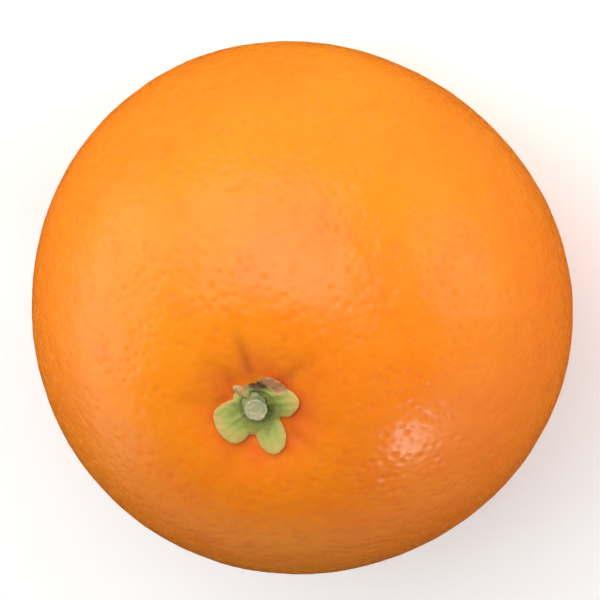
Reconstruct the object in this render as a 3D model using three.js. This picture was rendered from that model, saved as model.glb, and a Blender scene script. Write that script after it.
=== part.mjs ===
// An orange as picked: the fruit, its star-shaped calyx and the cut stub of its stem.
//
// Millimetres, +Z up. The fruit stands on its blossom end with its stem end on top, and the
// origin is the centre of the small flat spot that it rests on. The growth axis is the Z axis.

import * as THREE from 'three';

// The fruit: an oblate body, hollowed a little round the stem and flattened where it rests.
const EQUATOR_RADIUS = 39;    // mean radius of the widest girth
const POLE_RADIUS = 34.3;     // half the height of the body, before the hollow and the flat
const REST_RADIUS = 7;        // radius of the flat spot
const DIMPLE_DEPTH = 3.4;     // depth of the stem hollow on the axis
const DIMPLE_WIDTH = 8;       // distance from the axis over which the hollow fades out

// The girth isn't quite round: it has three very soft corners.
const CORNERS = 3;
const CORNER_HEIGHT = 0.4;    // how far a corner stands out at the equator
const CORNER_AZIMUTH = -40;   // degrees

// The calyx: a disc of fused sepals whose five lobes lie on the skin.
const SEAT_GAP = 0.3;         // clearance between the pieces, which grow together in life
const DISC_RADIUS = 3.2;      // radius between the lobes
const DISC_THICKNESS = 1.1;   // thickness at the axis
const EDGE_THICKNESS = 0.5;   // thickness at the lobes' rims
const COLLAR_RADIUS = 2.7;    // raised ring round the stem
const COLLAR_HEIGHT = 0.45;
const COLLAR_WIDTH = 0.6;

// Each lobe points along `azimuth`, reaches `reach` from the axis, and is `spread` degrees to
// each side of its middle line.
const LOBES = [
  { azimuth: 57, reach: 6.7, spread: 40 },
  { azimuth: 136, reach: 7.1, spread: 26 },
  { azimuth: 216, reach: 6.0, spread: 31 },
  { azimuth: 253, reach: 5.5, spread: 24 },
  { azimuth: 336, reach: 4.5, spread: 15 },
];

// The stem: a short stub cut nearly square, a little thicker at its foot.
const STEM_FOOT_RADIUS = 1.7;
const STEM_WAIST_RADIUS = 1.45;
const STEM_TOP_RADIUS = 1.55;
const STEM_LENGTH = 1.6;
const STEM_BEVEL = 0.25;

// How finely the curved surfaces are divided.
const FRUIT_ROWS = 36;
const FRUIT_COLUMNS = 72;
const POLE_CROWDING = 1.5;    // above 1, the rows crowd towards the stem hollow
const CALYX_ROWS = 8;
const CALYX_COLUMNS = 72;
const STEM_COLUMNS = 24;

const REST_ANGLE = Math.PI - Math.asin(REST_RADIUS / EQUATOR_RADIUS);
const CENTRE_HEIGHT = -POLE_RADIUS * Math.cos(REST_ANGLE);

const material = (color, roughness) => (
  new THREE.MeshStandardMaterial({ color, roughness, metalness: 0 })
);

// Height of the skin above the resting plane, on the stem side, at a distance from the axis.
function skinHeight(distance) {
  const body = POLE_RADIUS * Math.sqrt(1 - (distance / EQUATOR_RADIUS) ** 2);
  const dimple = DIMPLE_DEPTH * Math.exp(-((distance / DIMPLE_WIDTH) ** 2));
  return CENTRE_HEIGHT + body - dimple;
}

// How far the girth stands out at an azimuth, in radians.
function girthSwelling(azimuth) {
  const turn = azimuth - THREE.MathUtils.degToRad(CORNER_AZIMUTH);
  return CORNER_HEIGHT * Math.cos(CORNERS * turn);
}

// A closed solid of revolution about Z. The profile runs up from the axis and back to it.
function revolve(profile, columns) {
  const points = profile.map(([distance, height]) => new THREE.Vector2(distance, height));
  const geometry = new THREE.LatheGeometry(points, columns);
  geometry.rotateX(Math.PI / 2);
  return geometry;
}

// Moves every vertex of a revolved solid. `place` gets its distance from the axis, its azimuth
// and its height, and returns its new distance and height.
function reshape(geometry, place) {
  const position = geometry.attributes.position;
  for (let i = 0; i < position.count; i += 1) {
    const azimuth = Math.atan2(position.getY(i), position.getX(i));
    const reach = Math.hypot(position.getX(i), position.getY(i));
    const [distance, height] = place(reach, azimuth, position.getZ(i));
    position.setXYZ(i, distance * Math.cos(azimuth), distance * Math.sin(azimuth), height);
  }
  geometry.computeVertexNormals();
  return geometry;
}

function makeFruit() {
  const profile = [[0, 0]];
  for (let row = 0; row < FRUIT_ROWS; row += 1) {
    const angle = REST_ANGLE * (1 - row / FRUIT_ROWS) ** POLE_CROWDING;
    const distance = EQUATOR_RADIUS * Math.sin(angle);
    const underside = CENTRE_HEIGHT + POLE_RADIUS * Math.cos(angle);
    const height = angle > Math.PI / 2 ? underside : skinHeight(distance);
    profile.push([distance, row === 0 ? 0 : height]);
  }
  profile.push([0, skinHeight(0)]);

  const geometry = reshape(revolve(profile, FRUIT_COLUMNS), (distance, azimuth, height) => {
    const fullness = (distance / EQUATOR_RADIUS) ** 3;
    return [distance + girthSwelling(azimuth) * fullness, height];
  });
  const fruit = new THREE.Mesh(geometry, material('#f28c24', 0.42));
  fruit.name = 'fruit';
  return fruit;
}

// Outline of the calyx: the disc's radius, or the lobe that reaches furthest at an azimuth.
function calyxReach(azimuth) {
  let reach = DISC_RADIUS;
  for (const lobe of LOBES) {
    const middle = THREE.MathUtils.degToRad(lobe.azimuth);
    const turn = Math.atan2(Math.sin(azimuth - middle), Math.cos(azimuth - middle));
    const across = Math.min(1, Math.abs(turn) / THREE.MathUtils.degToRad(lobe.spread));
    const blade = (lobe.reach - DISC_RADIUS) * (1 - across ** 2) ** 0.8;
    reach = Math.max(reach, DISC_RADIUS + blade);
  }
  return reach;
}

function calyxThickness(distance, fraction) {
  const collar = COLLAR_HEIGHT * Math.exp(-(((distance - COLLAR_RADIUS) / COLLAR_WIDTH) ** 2));
  const blade = THREE.MathUtils.lerp(DISC_THICKNESS, EDGE_THICKNESS, fraction);
  return blade + collar * (1 - fraction);
}

function makeCalyx() {
  // A unit disc of two layers, height 0 below and 1 above, is bent on to the skin.
  const profile = [];
  for (let row = 0; row <= CALYX_ROWS; row += 1) profile.push([row / CALYX_ROWS, 0]);
  for (let row = CALYX_ROWS; row >= 0; row -= 1) profile.push([row / CALYX_ROWS, 1]);

  const geometry = reshape(revolve(profile, CALYX_COLUMNS), (fraction, azimuth, layer) => {
    const distance = fraction * calyxReach(azimuth);
    const seat = skinHeight(distance) + SEAT_GAP;
    return [distance, seat + layer * calyxThickness(distance, fraction)];
  });
  const calyx = new THREE.Mesh(geometry, material('#a8ad55', 0.6));
  calyx.name = 'calyx';
  return calyx;
}

function makeStem() {
  const waist = STEM_LENGTH * 0.55;
  const profile = [
    [0, 0],
    [STEM_FOOT_RADIUS, 0],
    [STEM_WAIST_RADIUS, waist],
    [STEM_TOP_RADIUS, STEM_LENGTH - STEM_BEVEL],
    [STEM_TOP_RADIUS - STEM_BEVEL, STEM_LENGTH],
    [0, STEM_LENGTH],
  ];
  const stem = new THREE.Mesh(revolve(profile, STEM_COLUMNS), material('#b4ad82', 0.75));
  stem.name = 'stem';
  stem.position.z = skinHeight(0) + SEAT_GAP + DISC_THICKNESS + SEAT_GAP;
  return stem;
}

const group = new THREE.Group();
group.add(makeFruit(), makeCalyx(), makeStem());

export default group;
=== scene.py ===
"""A fresh orange: pored rind, fused green calyx and cut stem stub, on a pale floor.

Everything is in metres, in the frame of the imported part: +Z is the growth axis, and the fruit
stands on its blossom end at the origin. Lengths below are written in millimetres times MM.
"""

import math

import bpy
import numpy as np
from mathutils import Matrix, Vector, kdtree, noise


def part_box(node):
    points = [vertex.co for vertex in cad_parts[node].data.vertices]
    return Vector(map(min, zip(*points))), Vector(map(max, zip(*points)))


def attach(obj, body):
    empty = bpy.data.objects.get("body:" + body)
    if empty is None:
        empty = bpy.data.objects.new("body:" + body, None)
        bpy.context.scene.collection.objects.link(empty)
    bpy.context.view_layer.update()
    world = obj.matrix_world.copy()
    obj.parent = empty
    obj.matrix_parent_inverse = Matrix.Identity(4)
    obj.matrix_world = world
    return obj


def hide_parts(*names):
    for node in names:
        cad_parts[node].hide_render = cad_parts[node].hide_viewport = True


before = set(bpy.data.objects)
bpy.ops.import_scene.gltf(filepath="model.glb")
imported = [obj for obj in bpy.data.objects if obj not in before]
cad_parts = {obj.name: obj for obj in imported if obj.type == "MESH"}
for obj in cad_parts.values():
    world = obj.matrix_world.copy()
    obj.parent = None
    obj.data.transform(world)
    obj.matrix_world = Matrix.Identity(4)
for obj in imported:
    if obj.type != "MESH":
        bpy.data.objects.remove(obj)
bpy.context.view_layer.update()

MM = 0.001
SEED = 7

# ---------------------------------------------------------------- the fruit's form, from the frame

LOW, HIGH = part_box("fruit")
EQUATOR_RADIUS = ((HIGH.x - LOW.x) + (HIGH.y - LOW.y)) / 4            # mean girth
FLATNESS = 0.8795                          # polar radius over mean girth radius
POLE_RADIUS = EQUATOR_RADIUS * FLATNESS    # half the height, before the hollow and the flat
REST_RADIUS = 7 * MM                       # the flat spot that the fruit stands on
DIMPLE_DEPTH = 3.4 * MM                    # hollow round the stem
DIMPLE_WIDTH = 8 * MM
CENTRE_HEIGHT = POLE_RADIUS * math.sqrt(1 - (REST_RADIUS / EQUATOR_RADIUS) ** 2)

# The girth has three very soft corners.
CORNERS = 3
CORNER_HEIGHT = 0.4 * MM                   # how far a corner stands out at the equator
CORNER_AZIMUTH = -40                       # degrees

# ---------------------------------------------------------------- the camera and the lights

VIEW_ELEVATION = 64          # degrees above the floor; the camera is on the -Y side
VIEW_ROLL = 203.3            # degrees, turning the stem end to the lower left of the picture
VIEW_DISTANCE = 0.45
FOCAL_LENGTH = 187.6         # mm
SENSOR_WIDTH = 36            # mm
FRAME_OFFSET = (0.17 * MM, 1.47 * MM)      # how far right and up of the fruit's centre it aims


def smoothstep(low, high, x):
    t = np.clip((x - low) / (high - low), 0, 1)
    return t * t * (3 - 2 * t)


def skin_height(distance):
    """Height of the skin over the floor on the stem side, at a distance from the axis."""
    body = POLE_RADIUS * np.sqrt(1 - (distance / EQUATOR_RADIUS) ** 2)
    return CENTRE_HEIGHT + body - DIMPLE_DEPTH * np.exp(-((distance / DIMPLE_WIDTH) ** 2))


def fractal(points, size, seed, octaves=3):
    """Smooth noise at each point, about -1 to 1, with features of the given size."""
    shift = Vector((seed * 3.7, seed * 1.3, seed * 2.1))
    values = [noise.fractal(Vector(p) / size + shift, 1.0, 2.0, octaves) for p in points]
    return np.array(values)


def new_object(name, vertices, faces):
    mesh = bpy.data.meshes.new(name)
    mesh.from_pydata(vertices.tolist(), [], faces)
    mesh.validate()
    obj = bpy.data.objects.new(name, mesh)
    bpy.context.scene.collection.objects.link(obj)
    mesh.shade_smooth()
    return obj


def set_attribute(obj, name, values):
    layer = obj.data.attributes.new(name, "FLOAT", "POINT")
    layer.data.foreach_set("value", np.asarray(values, np.float32))


# ---------------------------------------------------------------- the fruit's skin

SKIN_GRID = 180      # quads along each side of the six charts
CHART_MARGIN = 0.004

PORE_SPACING = 1.70 * MM
PORE_RADIUS = 0.44 * MM
PORE_DEPTH = 0.12 * MM
PIN_SPACING = 0.90 * MM      # finer pits between the pores
PIN_RADIUS = 0.26 * MM
PIN_DEPTH = 0.025 * MM
RAGGED = 0.14 * MM           # how far a pit's outline strays from a circle
RAGGED_SIZE = 0.8 * MM       # and over what length it does so
HEXAGONAL = 0.866            # skin per pit, over its spacing squared, when packed in hexagons

WAVE_HEIGHT = 0.07 * MM      # low swells of the whole skin
WAVE_SIZE = 11 * MM
PUFF_HEIGHT = 0.055 * MM     # smaller ones between the pores
PUFF_SIZE = 3.0 * MM
REST_SOFTNESS = 0.25 * MM    # how softly the skin bends into the flat spot

SCAR_RADIUS = 1.5 * MM       # the dry scar at the blossom end
SCAR_DEPTH = 0.55 * MM
SCAR_RIM_RADIUS = 2.6 * MM
SCAR_RIM_WIDTH = 0.7 * MM
SCAR_RIM_HEIGHT = 0.10 * MM

BLUSH_SIDE = np.array([-0.91, -0.09, 0.40])            # where the rind is reddest


def cube_sphere(grid):
    """Directions, quads and corner UVs of a sphere made of six warped square charts."""
    step = np.tan(np.linspace(-1, 1, grid + 1) * math.pi / 4)
    a, b = np.meshgrid(step, step, indexing="ij")
    one = np.ones_like(a)
    sides = [(a, b, one), (b, a, -one), (one, a, b), (-one, b, a), (b, one, a), (a, -one, b)]
    i, j = np.meshgrid(np.arange(grid), np.arange(grid), indexing="ij")
    first = (i * (grid + 1) + j).ravel()
    quad = np.stack([first, first + grid + 1, first + grid + 2, first + 1], 1)
    flat_a, flat_b = (v.ravel() / grid for v in np.meshgrid(
        np.arange(grid + 1), np.arange(grid + 1), indexing="ij"))
    points, quads, uvs = [], [], []
    for side, coordinates in enumerate(sides):
        corner = np.stack([c.ravel() for c in coordinates], 1)
        points.append(corner / np.linalg.norm(corner, axis=1, keepdims=True))
        quads.append(quad + side * (grid + 1) ** 2)
        column, row = side % 3, side // 3
        u = (column + CHART_MARGIN + flat_a * (1 - 2 * CHART_MARGIN)) / 3
        v = (row + CHART_MARGIN + flat_b * (1 - 2 * CHART_MARGIN)) / 2
        uvs.append(np.stack([u, v], 1))
    points, quads, uvs = np.concatenate(points), np.concatenate(quads), np.concatenate(uvs)
    keys = np.round(points * 1e6).astype(np.int64)
    _, keep, merged = np.unique(keys, axis=0, return_index=True, return_inverse=True)
    return points[keep], merged.ravel()[quads], uvs[quads.ravel()]


def scattered_directions(count, rng):
    """Evenly spread directions, shaken and then pushed apart, so that no rows show."""
    k = np.arange(count) + 0.5
    z = 1 - 2 * k / count
    turn = k * math.pi * (3 - math.sqrt(5))        # steps of the golden angle
    flat = np.sqrt(1 - z * z)
    points = np.stack([flat * np.cos(turn), flat * np.sin(turn), z], 1)
    spacing = math.sqrt(4 * math.pi / count)
    points += rng.normal(0, 0.4 * spacing, points.shape)
    neighbours = 5
    for _ in range(3):
        points /= np.linalg.norm(points, axis=1, keepdims=True)
        tree = kdtree.KDTree(count)
        for index, p in enumerate(points):
            tree.insert(p, index)
        tree.balance()
        push = np.zeros_like(points)
        for index, p in enumerate(points):
            for co, other, gap in tree.find_n(p, neighbours):
                if other != index and gap < spacing:
                    push[index] += (p - np.array(co)) / (gap + 1e-9) * (spacing - gap) * 0.3
        points += push
    return points / np.linalg.norm(points, axis=1, keepdims=True)


def body_points(directions):
    """The smooth body: oblate, swollen, hollowed round the stem, flattened where it rests."""
    x = directions[:, 0] * EQUATOR_RADIUS
    y = directions[:, 1] * EQUATOR_RADIUS
    z = directions[:, 2] * POLE_RADIUS
    distance = np.hypot(x, y)
    azimuth = np.arctan2(y, x)
    swelling = CORNER_HEIGHT * np.cos(CORNERS * (azimuth - math.radians(CORNER_AZIMUTH)))
    widen = 1 + swelling / EQUATOR_RADIUS * (distance / EQUATOR_RADIUS) ** 2
    stem_side = smoothstep(-0.1, 0.3, directions[:, 2])
    z -= stem_side * DIMPLE_DEPTH * np.exp(-((distance / DIMPLE_WIDTH) ** 2))
    z -= stem_side * stem_furrows(distance, azimuth)
    z += CENTRE_HEIGHT
    z = (z + np.sqrt(z * z + REST_SOFTNESS * REST_SOFTNESS)) / 2
    from_scar = np.where(directions[:, 2] < 0, distance, np.inf)
    z += SCAR_DEPTH * np.exp(-((from_scar / SCAR_RADIUS) ** 2))
    rim = np.exp(-(((from_scar - SCAR_RIM_RADIUS) / SCAR_RIM_WIDTH) ** 2))
    z -= SCAR_RIM_HEIGHT * rim * (z > SCAR_RIM_HEIGHT)
    return np.stack([x * widen, y * widen, z], 1)


# Furrows that run out from the calyx: azimuth in degrees, then depth, half width and how far
# out they reach, all in millimetres.
FURROWS = (
    (305, 0.42, 0.8, 14),
    (20, 0.20, 1.2, 13),
    (88, 0.26, 1.3, 14),
    (165, 0.22, 1.0, 13),
    (190, 0.14, 1.2, 16),
    (248, 0.30, 1.1, 14),
    (338, 0.16, 1.0, 12),
)
DEEPEST_FURROW = max(deep for _, deep, _, _ in FURROWS) * MM


def stem_furrows(distance, azimuth):
    """How deep the furrows are at each point."""
    depth = np.zeros_like(distance)
    for heading, deep, width, reach in FURROWS:
        turn = azimuth - math.radians(heading)
        ahead = distance * np.cos(turn)
        aside = distance * np.sin(turn)
        along = smoothstep(2, 5, ahead / MM) * (1 - smoothstep(reach * 0.45, reach, ahead / MM))
        depth += deep * MM * along * np.exp(-((aside / (width * MM)) ** 2))
    return depth


def vertex_normals(points, quads):
    side_a = points[quads[:, 2]] - points[quads[:, 0]]
    side_b = points[quads[:, 3]] - points[quads[:, 1]]
    across = np.cross(side_a, side_b)
    normals = np.zeros_like(points)
    for corner in range(4):
        np.add.at(normals, quads[:, corner], across)
    return normals / np.linalg.norm(normals, axis=1, keepdims=True)


def pits(points, centres, radii):
    """How deep each point is in the nearest pit, 0 to 1, and the pit's index."""
    tree = kdtree.KDTree(len(points))
    for index, p in enumerate(points):
        stray = noise.noise_vector(Vector(p) / RAGGED_SIZE) * RAGGED
        tree.insert(Vector(p) + stray, index)
    tree.balance()
    depth = np.zeros(len(points))
    owner = np.zeros(len(points), int)
    for pit, (centre, radius) in enumerate(zip(centres, radii)):
        for _, index, gap in tree.find_range(centre, radius * 1.6):
            level = math.exp(-((gap / radius) ** 2) * 1.6)
            if level > depth[index]:
                depth[index] = level
                owner[index] = pit
    return depth, owner


def make_fruit():
    rng = np.random.default_rng(SEED)
    directions, quads, uvs = cube_sphere(SKIN_GRID)
    points = body_points(directions)
    normals = vertex_normals(points, quads)

    area = 4 * math.pi * EQUATOR_RADIUS * (EQUATOR_RADIUS * 2 + POLE_RADIUS) / 3
    pore_count = int(area / (HEXAGONAL * PORE_SPACING ** 2))
    pores = body_points(scattered_directions(pore_count, rng))
    size = 0.55 + 0.75 * rng.uniform(0, 1, pore_count) ** 1.6
    pore, owner = pits(points, pores, PORE_RADIUS * size)
    pore *= np.clip(size[owner], 0.6, 1.2)
    pin_count = int(area / (HEXAGONAL * PIN_SPACING ** 2))
    pins = body_points(scattered_directions(pin_count, rng))
    pin, _ = pits(points, pins, PIN_RADIUS * rng.uniform(0.8, 1.2, pin_count))

    distance = np.hypot(points[:, 0], points[:, 1])
    top = points[:, 2] > CENTRE_HEIGHT
    stem_calm = np.where(top, smoothstep(4 * MM, 11 * MM, distance), 1)
    rest_calm = np.where(top, 1, smoothstep(REST_RADIUS * 0.6, REST_RADIUS * 1.5, distance))
    calm = (0.35 + 0.65 * stem_calm) * (0.3 + 0.7 * rest_calm)
    patchy = 1 + 0.35 * fractal(points, 9 * MM, 1, 2)

    waves = WAVE_HEIGHT * fractal(points, WAVE_SIZE, 2, 2)
    puffs = PUFF_HEIGHT * fractal(points, PUFF_SIZE, 3, 3)
    shift = waves + calm * (puffs - PORE_DEPTH * pore * patchy - PIN_DEPTH * pin)
    on_rest = np.where(top, 0, 1 - smoothstep(REST_RADIUS * 0.7, REST_RADIUS * 1.6, distance))
    shift *= 1 - 0.8 * on_rest
    points = points + normals * shift[:, None]
    points[:, 2] = np.maximum(points[:, 2], 0.01 * MM)

    fruit = new_object("orange_skin", points, quads.tolist())
    layer = fruit.data.uv_layers.new(name="OFBake")
    layer.data.foreach_set("uv", uvs.astype(np.float32).ravel())
    set_attribute(fruit, "pore", pore * (0.4 + 0.6 * calm))
    set_attribute(fruit, "pin", pin)
    azimuth = np.arctan2(points[:, 1], points[:, 0])
    # A darker, redder ring of rind round the stem hollow: partly rind colour, partly painted
    # shade, heaviest on the side turned from the key light.
    red_tint_and_shade = (1 - smoothstep(4 * MM, 11.5 * MM, distance)) * (0.75 + 0.2 * np.cos(azimuth - 2.3))
    set_attribute(fruit, "red_tint_and_shade", np.where(top, red_tint_and_shade, 0))
    # Painted shade: the rind is darkened along the furrows by the calyx, where shade falls in
    # them.
    furrow_shade = stem_furrows(distance, azimuth) / DEEPEST_FURROW
    set_attribute(fruit, "furrow_shade", np.where(top, np.clip(furrow_shade, 0, 1), 0))
    set_attribute(fruit, "blush", 0.4 * smoothstep(0.45, 1.0, directions @ BLUSH_SIDE))
    set_attribute(fruit, "scar", np.where(top, 0, 1 - smoothstep(1.2 * MM, 2.6 * MM, distance)))
    return fruit


# ---------------------------------------------------------------- the calyx

# Lobes of the calyx: azimuth in degrees, then reach, half width, thickness and lift of the tip in
# millimetres, how blunt the tip is, and how many millimetres the lobe bends to one side.
LOBES = (
    (56, 6.6, 3.00, 1.15, 0.35, 4.0, 0.50),
    (137, 7.1, 2.15, 1.15, 0.35, 2.6, -0.30),
    (217, 6.0, 2.45, 1.05, 0.40, 1.35, 0.0),
    (258, 5.3, 2.30, 0.60, 0.80, 2.6, -0.30),
    (336, 4.5, 0.80, 1.50, 0.90, 1.3, 0.10),
)
# Dried parts: azimuth in degrees, how dry, from how far out in millimetres, and half angle in
# radians.
WITHERED = ((267, 1.0, 3.0, 0.68), (336, 0.5, 2.0, 0.34))
WEB_AZIMUTH = 101            # degrees; skin fills the gap between the two biggest lobes
GAP_AZIMUTH = 294            # degrees; the disc is narrowest here
SLIT_SHADOW_AZIMUTH = 291         # degrees; a painted shadow, a dark slit on the ring under the dried lobe
SLIT_SHADOW_DISTANCE = 3.05       # mm from the axis
MOAT_DISTANCE = 1.95         # mm from the axis, the groove round the foot of the stem, darkened there with painted shade
CALYX_VOXEL = 0.10 * MM


def turn_from(azimuth, heading):
    """Angle from a heading in degrees to each azimuth, in radians, -pi to pi."""
    return np.angle(np.exp(1j * (azimuth - math.radians(heading))))


def loft(rings):
    """A closed body through equal rings of points, closed at each end by a middle point."""
    count = len(rings[0])
    vertices = np.concatenate([rings[0].mean(0, keepdims=True), *rings,
                               rings[-1].mean(0, keepdims=True)])
    last = len(vertices) - 1
    faces = []
    for k in range(count):
        following = (k + 1) % count
        faces.append((0, 1 + following, 1 + k))
        for ring in range(len(rings) - 1):
            here, there = 1 + ring * count, 1 + (ring + 1) * count
            faces.append((here + k, here + following, there + following, there + k))
        end = 1 + (len(rings) - 1) * count
        faces.append((end + k, end + following, last))
    return vertices, faces


def lobe_body(heading, reach, width, thickness, lift, blunt, bend):
    """One sepal: a rounded tongue that lies along the skin and lifts a little at its tip."""
    turn = math.radians(heading)
    outward = np.array([math.cos(turn), math.sin(turn), 0])
    aside = np.array([-math.sin(turn), math.cos(turn), 0])
    around = np.linspace(0, 2 * math.pi, 48, endpoint=False)
    start = 1.4              # mm from the axis, inside the ring
    rings = []
    for s in 1 - np.linspace(1, 0.02, 30) ** 1.6:
        narrowing = max(0.0, (s - 0.45) / 0.55)
        tip = max(0.0, 1 - narrowing ** blunt) ** 0.55
        half = width * (0.70 + 0.30 * math.sin(math.pi * min(1, s / 0.6) / 2)) * tip + 0.02
        thick = thickness * (1 - 0.25 * s) * (0.35 + 0.65 * tip)
        across = half * np.sign(np.cos(around)) * np.abs(np.cos(around)) ** 0.85 + bend * s * s
        along = start + (reach - start) * s
        away = np.hypot(along, across) * MM
        ridge = 0.18 * np.exp(-((across / 0.4) ** 2)) * (1 - s)
        veins = 0.05 * np.cos(across * 5.5) * (1 - s * s)
        cup = 0.12 * (across / width) ** 2
        middle = thick * 0.38 + lift * s ** 2.2 + (np.sin(around) > 0) * (ridge + veins - cup)
        height = skin_height(away) / MM + middle + 0.5 * thick * np.sin(around)
        ring = outward * along + np.outer(across, aside)
        ring[:, 2] = height
        rings.append(ring * MM)
    return loft(rings)


def collar_body():
    """The fused middle of the calyx: a saucer with a raised rim round the foot of the stem."""
    base = skin_height(0) / MM
    profile = [(0.05, -0.2), (2.2, -0.2), (3.1, 0.05), (3.5, 0.4), (3.4, 0.85), (3.0, 1.15),
               (2.65, 1.3), (2.4, 1.22), (2.2, 0.95), (2.0, 0.65), (1.7, 0.55), (0.05, 0.55)]
    turns = np.linspace(0, 2 * math.pi, 72, endpoint=False)
    web = np.exp(-(((turns - math.radians(WEB_AZIMUTH)) / 0.34) ** 2))
    gap = np.exp(-(((turns - math.radians(GAP_AZIMUTH)) / 0.42) ** 2))
    ripple = 1 + 0.04 * np.cos(5 * turns - 0.6) + 0.30 * web - 0.16 * gap
    rings = []
    for distance, height in profile:
        out = distance * (1 + (ripple - 1) * smoothstep(2.2, 3.2, distance))
        climb = (skin_height(out * MM) - skin_height(distance * MM)) / MM
        top = base + height + climb + 0.10 * np.cos(turns - 2.0) * (distance > 2)
        rings.append(np.stack([out * np.cos(turns), out * np.sin(turns), top], 1) * MM)
    return loft(rings)


def fuse(name, bodies, voxel, smoothing):
    """Joins closed bodies into one skin, and softens where they meet."""
    vertices, faces, start = [], [], 0
    for points, quads in bodies:
        vertices.append(points)
        faces += [tuple(i + start for i in face) for face in quads]
        start += len(points)
    obj = new_object(name, np.concatenate(vertices), faces)
    remesh = obj.modifiers.new("fuse", "REMESH")
    remesh.mode = "VOXEL"
    remesh.voxel_size = voxel
    relax = obj.modifiers.new("relax", "SMOOTH")
    relax.factor = 0.5
    relax.iterations = smoothing
    bpy.context.view_layer.update()
    shape = obj.evaluated_get(bpy.context.evaluated_depsgraph_get())
    fused = bpy.data.meshes.new_from_object(shape)
    fused.name = name
    obj.modifiers.clear()
    obj.data = fused
    fused.shade_smooth()
    return obj


def make_calyx():
    bodies = [lobe_body(*lobe) for lobe in LOBES] + [collar_body()]
    calyx = fuse("calyx_star", bodies, CALYX_VOXEL, 6)
    mesh = calyx.data
    points = np.zeros(len(mesh.vertices) * 3, np.float32)
    mesh.vertices.foreach_get("co", points)
    points = points.reshape(-1, 3).astype(float)
    normals = np.array([v.normal for v in mesh.vertices])
    rough = 0.05 * MM * fractal(points, 0.9 * MM, 4, 3)
    points += normals * rough[:, None]
    mesh.vertices.foreach_set("co", points.astype(np.float32).ravel())
    mesh.update()

    distance = np.hypot(points[:, 0], points[:, 1]) / MM
    azimuth = np.arctan2(points[:, 1], points[:, 0])
    turns = np.stack([azimuth - math.radians(lobe[0]) for lobe in LOBES])
    own = np.argmin(1 - np.cos(turns), 0)
    turn = turns[own, np.arange(len(points))]
    reach = np.array([lobe[1] for lobe in LOBES])[own]
    width = np.array([lobe[2] for lobe in LOBES])[own]
    dry = np.zeros(len(points))
    for heading, amount, start, spread in WITHERED:
        off_line = np.abs(turn_from(azimuth, heading))
        beyond = smoothstep(start, start + 0.6, distance)
        beside = smoothstep(spread, spread * 0.5, off_line)
        dry = np.maximum(dry, amount * (beyond * beside))
    ahead = distance * np.cos(turn)
    aside = np.abs(distance * np.sin(turn))
    outer = smoothstep(2.6, 3.6, distance)
    set_attribute(calyx, "tip", np.clip(ahead / reach, 0, 1))
    set_attribute(calyx, "edge", outer * smoothstep(0.45, 1.0, aside / width))
    set_attribute(calyx, "dry", dry)
    # Painted shade in the groove round the foot of the stem.
    set_attribute(calyx, "moat_shade", np.exp(-(((distance - MOAT_DISTANCE) / 0.45) ** 2)))
    # Painted shadow: a dark slit on the ring under the dried lobe.
    slit_shadow_turn = turn_from(azimuth, SLIT_SHADOW_AZIMUTH)
    slit_shadow = np.exp(-(((distance - SLIT_SHADOW_DISTANCE) / 0.50) ** 2) - (slit_shadow_turn / 0.45) ** 2)
    set_attribute(calyx, "slit_shadow", np.clip(1.8 * slit_shadow, 0, 1))
    return calyx


# ---------------------------------------------------------------- the stem stub

STEM_RADIUS = 1.47 * MM
RIM_RADIUS = STEM_RADIUS * 1.05            # the stub widens a little at the cut
RIM_ROUNDING = 0.14 * MM                   # radius of the cut's edge
STEM_ROOT = 0.6 * MM                       # height of the foot above the floor of the hollow
STEM_TOP = 3.2 * MM                        # height of the cut above the floor of the hollow
STEM_FOOT = (0.62 * MM, 0.28 * MM)         # where the middle of the foot stands
STEM_LEAN = (-0.62 * MM, -0.76 * MM)       # how far over the top leans


def make_stem():
    base = skin_height(0)
    around = np.linspace(0, 2 * math.pi, 96, endpoint=False)
    broad_ribs = 0.035 * np.cos(5 * around + 0.4) + 0.018 * np.cos(9 * around)
    ribs = broad_ribs + 0.012 * np.cos(17 * around + 1.1)
    low, high = base + STEM_ROOT, base + STEM_TOP
    rings = []

    def ring(radius, height, sag=0.0):
        share = (height - low) / (high - low)
        out = radius * (1 + ribs)
        slope = 0.16 * MM * np.cos(around - 0.9) * share ** 3 * radius / STEM_RADIUS
        x = out * np.cos(around) + STEM_FOOT[0] + STEM_LEAN[0] * share
        y = out * np.sin(around) + STEM_FOOT[1] + STEM_LEAN[1] * share
        rings.append(np.stack([x, y, height + slope + sag], 1))

    for share in np.linspace(0, 1, 22)[:-1]:
        flare = 0.30 * math.exp(-(share / 0.22) ** 2) + 0.05 * share ** 4
        ring(STEM_RADIUS * (1 + flare) - 0.02 * MM, low + (high - low - RIM_ROUNDING) * share)
    for bend in np.linspace(0, math.pi / 2, 5):
        inward = RIM_ROUNDING * (1 - math.cos(bend))
        below = RIM_ROUNDING * (1 - math.sin(bend))
        ring(RIM_RADIUS - inward, high - below)
    for share in np.linspace(0.88, 0.04, 12):
        dish = 0.10 * MM * math.cos(share * math.pi / 2)
        year_rings = 0.03 * MM * math.cos(share * 14)
        ring(RIM_RADIUS * share, high, year_rings - dish)
    vertices, faces = loft(rings)
    stem = new_object("stem_stub", vertices, faces)
    points = vertices.copy()
    normals = np.array([v.normal for v in stem.data.vertices])
    points += normals * (0.035 * MM * fractal(points, 0.7 * MM, 5, 3))[:, None]
    stem.data.vertices.foreach_set("co", points.astype(np.float32).ravel())
    stem.data.update()
    share = (vertices[:, 2] - low) / (high - low)
    axis = np.outer(share, STEM_LEAN) + STEM_FOOT
    off_axis = np.linalg.norm(vertices[:, :2] - axis, axis=1) / RIM_RADIUS
    set_attribute(stem, "core", 1 - np.clip(off_axis, 0, 1))
    cut = smoothstep(0.93, 0.965, share) * smoothstep(1.02, 0.93, off_axis)
    set_attribute(stem, "cut", cut)
    return stem


# ---------------------------------------------------------------- materials

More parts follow.
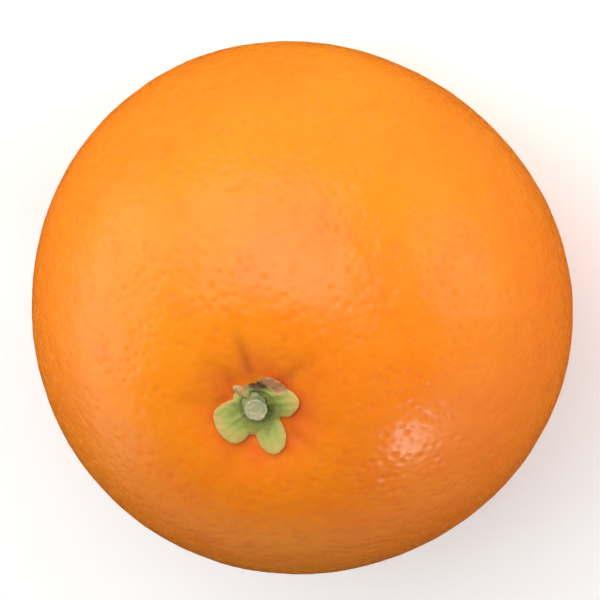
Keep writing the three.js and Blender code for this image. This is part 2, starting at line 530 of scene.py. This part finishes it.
class Nodes:
    """Short names for building one material's node tree."""

    def __init__(self, name):
        self.material = bpy.data.materials.new(name)
        self.material.use_nodes = True
        self.tree = self.material.node_tree
        self.shader = next(n for n in self.tree.nodes if n.type == "BSDF_PRINCIPLED")

    def add(self, kind, **settings):
        node = self.tree.nodes.new(kind)
        for key, value in settings.items():
            setattr(node, key, value)
        return node

    def link(self, source, target):
        self.tree.links.new(source, target)

    def attribute(self, name):
        return self.add("ShaderNodeAttribute", attribute_name=name).outputs["Fac"]

    def place(self):
        return self.add("ShaderNodeTexCoord").outputs["Object"]

    def noise(self, size, detail=3.0, roughness=0.5, distortion=0.0):
        """Noise with features of the given size in metres, about 0 to 1."""
        node = self.add("ShaderNodeTexNoise")
        node.inputs["Scale"].default_value = 1 / size
        node.inputs["Detail"].default_value = detail
        node.inputs["Roughness"].default_value = roughness
        node.inputs["Distortion"].default_value = distortion
        self.link(self.place(), node.inputs["Vector"])
        return node.outputs["Fac"]

    def ramp(self, value, low, high):
        """Takes value from low to high on to 0 to 1, smoothly."""
        node = self.add("ShaderNodeMapRange", interpolation_type="SMOOTHSTEP")
        node.inputs["From Min"].default_value = low
        node.inputs["From Max"].default_value = high
        self.link(value, node.inputs["Value"])
        return node.outputs["Result"]

    def math(self, operation, a, b):
        node = self.add("ShaderNodeMath", operation=operation)
        for socket, value in zip(node.inputs, (a, b)):
            if isinstance(value, (int, float)):
                socket.default_value = value
            else:
                self.link(value, socket)
        return node.outputs[0]

    def mix(self, factor, a, b, blend="MIX"):
        """Mixes two colours, each a socket or an RGB triple, by a factor."""
        node = self.add("ShaderNodeMix", data_type="RGBA", blend_type=blend)
        for socket, value in zip((node.inputs[0], node.inputs[6], node.inputs[7]), (factor, a, b)):
            if isinstance(value, (int, float)):
                socket.default_value = value
            elif isinstance(value, tuple):
                socket.default_value = (*value, 1)
            else:
                self.link(value, socket)
        return node.outputs[2]

    def bump(self, height, distance, strength=1.0, normal=None):
        node = self.add("ShaderNodeBump")
        node.inputs["Strength"].default_value = strength
        node.inputs["Distance"].default_value = distance
        self.link(height, node.inputs["Height"])
        if normal is not None:
            self.link(normal, node.inputs["Normal"])
        return node.outputs["Normal"]

    def set(self, **values):
        for key, value in values.items():
            socket = self.shader.inputs[key.replace("_", " ")]
            if isinstance(value, bpy.types.NodeSocket):
                self.link(value, socket)
            else:
                socket.default_value = value


def peel_material():
    n = Nodes("orange_peel")
    orange = (0.90, 0.222, 0.007)
    yellow = (0.92, 0.266, 0.009)
    red = (0.87, 0.175, 0.011)
    broad = n.ramp(n.noise(26 * MM, 2.0), 0.35, 0.68)
    colour = n.mix(broad, orange, yellow)
    patch = n.ramp(n.noise(7 * MM, 3.0), 0.50, 0.75)
    colour = n.mix(n.math("MULTIPLY", patch, 0.45), colour, red)
    mottle = n.ramp(n.noise(1.6 * MM, 2.0), 0.35, 0.70)
    colour = n.mix(n.math("MULTIPLY", mottle, 0.30), colour, (0.93, 0.29, 0.02))
    blush = n.math("MULTIPLY", n.attribute("blush"), n.ramp(n.noise(12 * MM, 3.0), 0.15, 0.55))
    colour = n.mix(blush, colour, (0.90, 0.168, 0.013))
    # Darker, redder ring round the stem: part rind colour, part painted shade.
    near = n.math("MULTIPLY", n.attribute("red_tint_and_shade"), n.ramp(n.noise(3.4 * MM, 3.0), 0.25, 0.6))
    colour = n.mix(near, colour, (0.80, 0.118, 0.024))
    # Painted shade along the furrows.
    colour = n.mix(n.math("MULTIPLY", n.attribute("furrow_shade"), 0.5), colour, (0.50, 0.11, 0.012))
    pore = n.attribute("pore")
    colour = n.mix(n.math("MULTIPLY", pore, 0.17), colour, (0.72, 0.140, 0.005))
    pin = n.attribute("pin")
    colour = n.mix(n.math("MULTIPLY", pin, 0.10), colour, (0.78, 0.17, 0.008))
    colour = n.mix(n.attribute("scar"), colour, (0.22, 0.11, 0.035))
    gloss = n.ramp(n.noise(4 * MM, 3.0), 0.2, 0.8)
    rough = n.math("ADD", n.math("MULTIPLY", gloss, 0.10), 0.21)
    rough = n.math("ADD", rough, n.math("MULTIPLY", pore, 0.16))
    swells = n.bump(n.noise(1.3 * MM, 2.0), 0.05 * MM, 0.6)
    fine = n.bump(n.noise(0.45 * MM, 3.0, 0.6), 0.02 * MM, 0.6, swells)
    n.set(Base_Color=colour, Roughness=rough, Normal=fine, Subsurface_Weight=0.22,
          Subsurface_Scale=1.2 * MM, Subsurface_Radius=(1.0, 0.35, 0.08), IOR=1.42,
          Specular_IOR_Level=0.35)
    return n.material


def calyx_material():
    n = Nodes("calyx_skin")
    olive = (0.21, 0.235, 0.045)
    green = (0.36, 0.41, 0.085)
    straw = (0.62, 0.44, 0.125)
    wobble = n.math("MULTIPLY", n.math("SUBTRACT", n.noise(1.6 * MM, 3.0), 0.5), 0.45)
    along = n.math("ADD", n.attribute("tip"), wobble)
    colour = n.mix(n.ramp(along, 0.30, 0.62), olive, green)
    colour = n.mix(n.ramp(along, 0.57, 0.98), colour, straw)
    edge = n.math("MULTIPLY", n.attribute("edge"), n.ramp(n.noise(1.2 * MM, 2.0), 0.25, 0.65))
    colour = n.mix(n.math("MULTIPLY", edge, 0.8), colour, (0.60, 0.34, 0.09))
    dry = n.attribute("dry")
    colour = n.mix(n.ramp(dry, 0.0, 0.5), colour, (0.58, 0.38, 0.15))
    shade = n.ramp(n.noise(0.7 * MM, 3.0), 0.3, 0.7)
    brown = n.mix(shade, (0.42, 0.17, 0.065), (0.54, 0.27, 0.115))
    colour = n.mix(n.ramp(dry, 0.5, 1.0), colour, brown)
    # Painted shade darkens the groove round the foot of the stem.
    colour = n.mix(n.math("MULTIPLY", n.attribute("moat_shade"), 0.55), colour, (0.10, 0.115, 0.028))
    # Painted shadow of the slit under the dried lobe.
    colour = n.mix(n.attribute("slit_shadow"), colour, (0.075, 0.036, 0.012))
    speckle = n.ramp(n.noise(0.35 * MM, 2.0), 0.55, 0.75)
    colour = n.mix(n.math("MULTIPLY", speckle, 0.30), colour, (0.30, 0.22, 0.07))
    rough = n.math("ADD", n.math("MULTIPLY", n.noise(0.8 * MM, 3.0), 0.25), 0.42)
    fine = n.bump(n.noise(0.28 * MM, 4.0, 0.6), 0.05 * MM, 0.7)
    n.set(Base_Color=colour, Roughness=rough, Normal=fine, Subsurface_Weight=0.12,
          Subsurface_Scale=0.5 * MM, Subsurface_Radius=(0.6, 1.0, 0.2), IOR=1.42)
    return n.material


def stem_material():
    n = Nodes("stem_wood")
    bark = n.mix(n.ramp(n.noise(0.9 * MM, 3.0), 0.3, 0.7), (0.24, 0.30, 0.13), (0.36, 0.37, 0.20))
    face = n.mix(n.ramp(n.noise(0.35 * MM, 3.0), 0.3, 0.7), (0.36, 0.33, 0.17), (0.50, 0.46, 0.27))
    core = n.attribute("core")
    face = n.mix(n.math("MULTIPLY", n.ramp(core, 0.72, 0.9), 0.5), face, (0.38, 0.36, 0.16))
    colour = n.mix(n.attribute("cut"), bark, face)
    rough = n.math("ADD", n.math("MULTIPLY", n.noise(0.5 * MM, 3.0), 0.2), 0.58)
    fine = n.bump(n.noise(0.2 * MM, 4.0, 0.65), 0.06 * MM, 0.8)
    n.set(Base_Color=colour, Roughness=rough, Normal=fine, IOR=1.45)
    return n.material


def floor_material():
    n = Nodes("floor_paint")
    faint = n.ramp(n.noise(60 * MM, 3.0), 0.3, 0.7)
    colour = n.mix(faint, (0.86, 0.86, 0.855), (0.88, 0.88, 0.88))
    n.set(Base_Color=colour, Roughness=0.8, Emission_Color=(1, 1, 1, 1), Emission_Strength=0.20)
    return n.material


# ---------------------------------------------------------------- the studio

def direction(azimuth, elevation):
    """Unit vector towards an azimuth (0 is -Y, 90 is +X) and an elevation, in degrees."""
    a, e = math.radians(azimuth), math.radians(elevation)
    return Vector((math.sin(a) * math.cos(e), -math.cos(a) * math.cos(e), math.sin(e)))


def make_camera(centre):
    """A long lens above the fruit, rolled so that the stem end is at the lower left."""
    back = direction(0, VIEW_ELEVATION)
    level = Vector((1, 0, 0))
    rise = back.cross(level)
    roll = math.radians(VIEW_ROLL)
    right = math.cos(roll) * level + math.sin(roll) * rise
    up = math.cos(roll) * rise - math.sin(roll) * level
    aim = centre + right * FRAME_OFFSET[0] + up * FRAME_OFFSET[1]
    data = bpy.data.cameras.new("camera")
    data.lens = FOCAL_LENGTH
    data.sensor_width = SENSOR_WIDTH
    data.clip_start = 0.01
    camera = bpy.data.objects.new("camera", data)
    turn = Matrix((right, up, back)).transposed().to_4x4()
    camera.matrix_world = Matrix.Translation(aim + back * VIEW_DISTANCE) @ turn
    bpy.context.scene.collection.objects.link(camera)
    bpy.context.scene.camera = camera


def make_light(name, centre, azimuth, elevation, distance, size, power):
    """A rectangular soft light that faces the fruit: size in metres, power in watts."""
    data = bpy.data.lights.new(name, "AREA")
    data.shape = "RECTANGLE"
    data.size, data.size_y = size
    data.energy = power
    light = bpy.data.objects.new(name, data)
    towards = direction(azimuth, elevation)
    light.location = centre + towards * distance
    light.rotation_euler = towards.to_track_quat("Z", "Y").to_euler()
    bpy.context.scene.collection.objects.link(light)


def make_floor():
    half_width = 1.5
    grid = 24
    line = np.linspace(-half_width, half_width, grid + 1)
    x, y = np.meshgrid(line, line, indexing="ij")
    vertices = np.stack([x.ravel(), y.ravel(), np.zeros(x.size)], 1)
    faces = []
    for i in range(grid):
        for j in range(grid):
            first = i * (grid + 1) + j
            faces.append((first, first + grid + 1, first + grid + 2, first + 1))
    floor = new_object("floor", vertices, faces)
    floor.data.materials.append(floor_material())
    floor.visible_glossy = False           # keeps the floor's glare off the fruit's gloss


def make_world(horizon, overhead):
    """A studio that is pale round the horizon, as seen from the side, and dim above and below."""
    world = bpy.data.worlds.new("studio")
    world.use_nodes = True
    tree = world.node_tree
    background = tree.nodes["Background"]
    background.inputs["Color"].default_value = (1.0, 0.995, 0.985, 1)
    place = tree.nodes.new("ShaderNodeTexCoord")
    split = tree.nodes.new("ShaderNodeSeparateXYZ")
    tree.links.new(place.outputs["Generated"], split.inputs["Vector"])
    strength = tree.nodes.new("ShaderNodeMath")
    strength.operation = "MULTIPLY"
    tree.links.new(strength.outputs["Value"], background.inputs["Strength"])
    underfoot = 0.05
    upward = (0.10, 0.45, horizon, overhead)
    downward = (-0.08, -0.35, 1.0, underfoot)
    for socket, (start, end, near, far) in zip(strength.inputs, (upward, downward)):
        fade = tree.nodes.new("ShaderNodeMapRange")
        fade.interpolation_type = "SMOOTHSTEP"
        fade.inputs["From Min"].default_value = start
        fade.inputs["From Max"].default_value = end
        fade.inputs["To Min"].default_value = near
        fade.inputs["To Max"].default_value = far
        tree.links.new(split.outputs["Z"], fade.inputs["Value"])
        tree.links.new(fade.outputs["Result"], socket)
    bpy.context.scene.world = world


def finish_piece(piece, node, material):
    piece.data.materials.clear()
    piece.data.materials.append(material)
    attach(piece, "root")
    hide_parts(node)


bpy.context.scene.view_settings.view_transform = "Standard"
middle = Vector((0, 0, CENTRE_HEIGHT))
make_camera(middle)
make_world(horizon=0.34, overhead=0.02)
make_light("key", middle, 32, 46, 0.9, (1.15, 0.95), 8.7)
make_light("overhead", middle, 5, 62, 0.9, (0.9, 0.45), 2.0)
make_light("side", middle, 103, 20, 0.9, (0.9, 0.6), 3.3)
make_light("low_side", middle, 142, 13, 0.9, (0.5, 0.45), 0.65)
make_light("far_side", middle, 312, 14, 0.9, (0.6, 0.48), 1.7)
make_light("right_side", middle, 265, 20, 0.9, (0.5, 0.45), 0.5)
make_light("glint", middle, 247, 29, 0.7, (0.14, 0.11), 0.76)
make_floor()
finish_piece(make_fruit(), "fruit", peel_material())
finish_piece(make_calyx(), "calyx", calyx_material())
finish_piece(make_stem(), "stem", stem_material())
